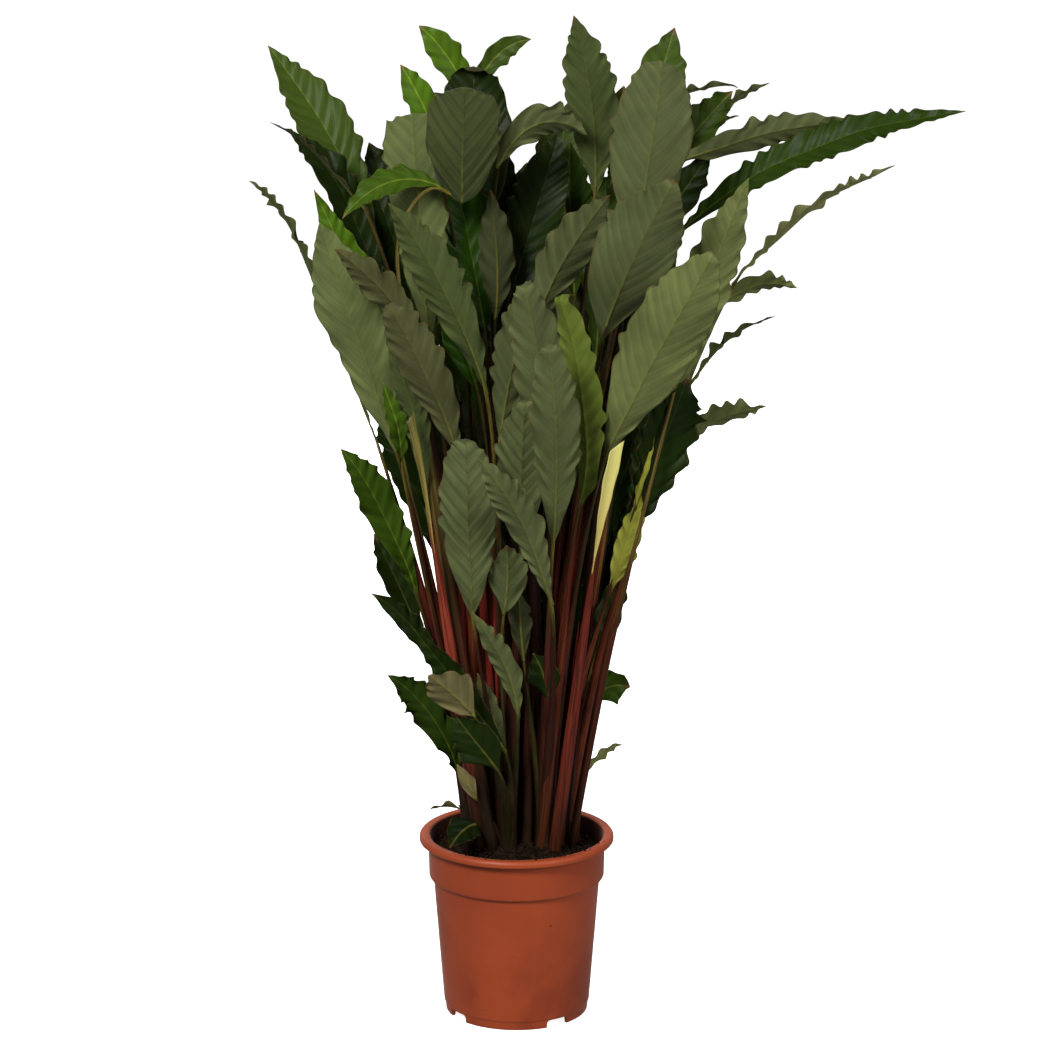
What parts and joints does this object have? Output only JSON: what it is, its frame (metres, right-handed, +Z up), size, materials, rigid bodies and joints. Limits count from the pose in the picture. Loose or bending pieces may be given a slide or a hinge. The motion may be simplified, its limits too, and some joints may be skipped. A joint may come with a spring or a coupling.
{
  "type": "potted calathea",
  "caption": "Dense tall house plant: long wavy-edged lance-shaped leaves on sheathing red-brown stalks, rising from crowns in a round tapered plastic nursery pot filled with peat.",
  "frame": {"origin": "centre of the pot's underside, in the plane that the pot stands on, on the flat middle boss", "axes": "+Z up the plant, +X to the viewer's right in the picture, +Y away from the viewer"},
  "size_m": [0.6703, 0.4526, 0.9793],
  "materials": {
    "pot": "satin moulded terracotta-coloured plastic, with faint soil scuffs low on the wall",
    "peat": "matte crumbly dark peat",
    "stalk": "satin red-brown, turning yellow-green towards the blade",
    "leaf": "glossy mid to dark green above, satin grey-green with fine hairs below, with a pale midrib"
  },
  "bodies": {
    "root": {"pot": "pot", "soil": "peat", "crown_1_stalks": "stalk", "crown_2_stalks": "stalk", "crown_3_stalks": "stalk", "crown_4_stalks": "stalk", "crown_5_stalks": "stalk", "crown_6_stalks": "stalk", "leaf_01": "leaf", "leaf_02": "leaf", "leaf_03": "leaf", "leaf_04": "leaf", "leaf_05": "leaf", "leaf_06": "leaf", "leaf_07": "leaf", "leaf_08": "leaf", "leaf_09": "leaf", "leaf_10": "leaf", "leaf_11": "leaf", "leaf_12": "leaf", "leaf_13": "leaf", "leaf_14": "leaf", "leaf_15": "leaf", "leaf_16": "leaf", "leaf_17": "leaf", "leaf_18": "leaf", "leaf_19": "leaf", "leaf_20": "leaf", "leaf_21": "leaf", "leaf_22": "leaf", "leaf_23": "leaf", "leaf_24": "leaf", "leaf_25": "leaf", "leaf_26": "leaf", "leaf_27": "leaf", "leaf_28": "leaf", "leaf_29": "leaf", "leaf_30": "leaf", "leaf_31": "leaf", "leaf_32": "leaf", "leaf_33": "leaf", "leaf_34": "leaf", "leaf_35": "leaf", "leaf_36": "leaf", "leaf_37": "leaf", "leaf_38": "leaf", "leaf_39": "leaf", "leaf_40": "leaf", "leaf_41": "leaf", "leaf_42": "leaf", "leaf_43": "leaf", "leaf_44": "leaf", "leaf_45": "leaf", "leaf_46": "leaf", "leaf_47": "leaf", "leaf_48": "leaf", "leaf_49": "leaf", "leaf_50": "leaf", "leaf_51": "leaf", "leaf_52": "leaf"}
  },
  "joints": []
}
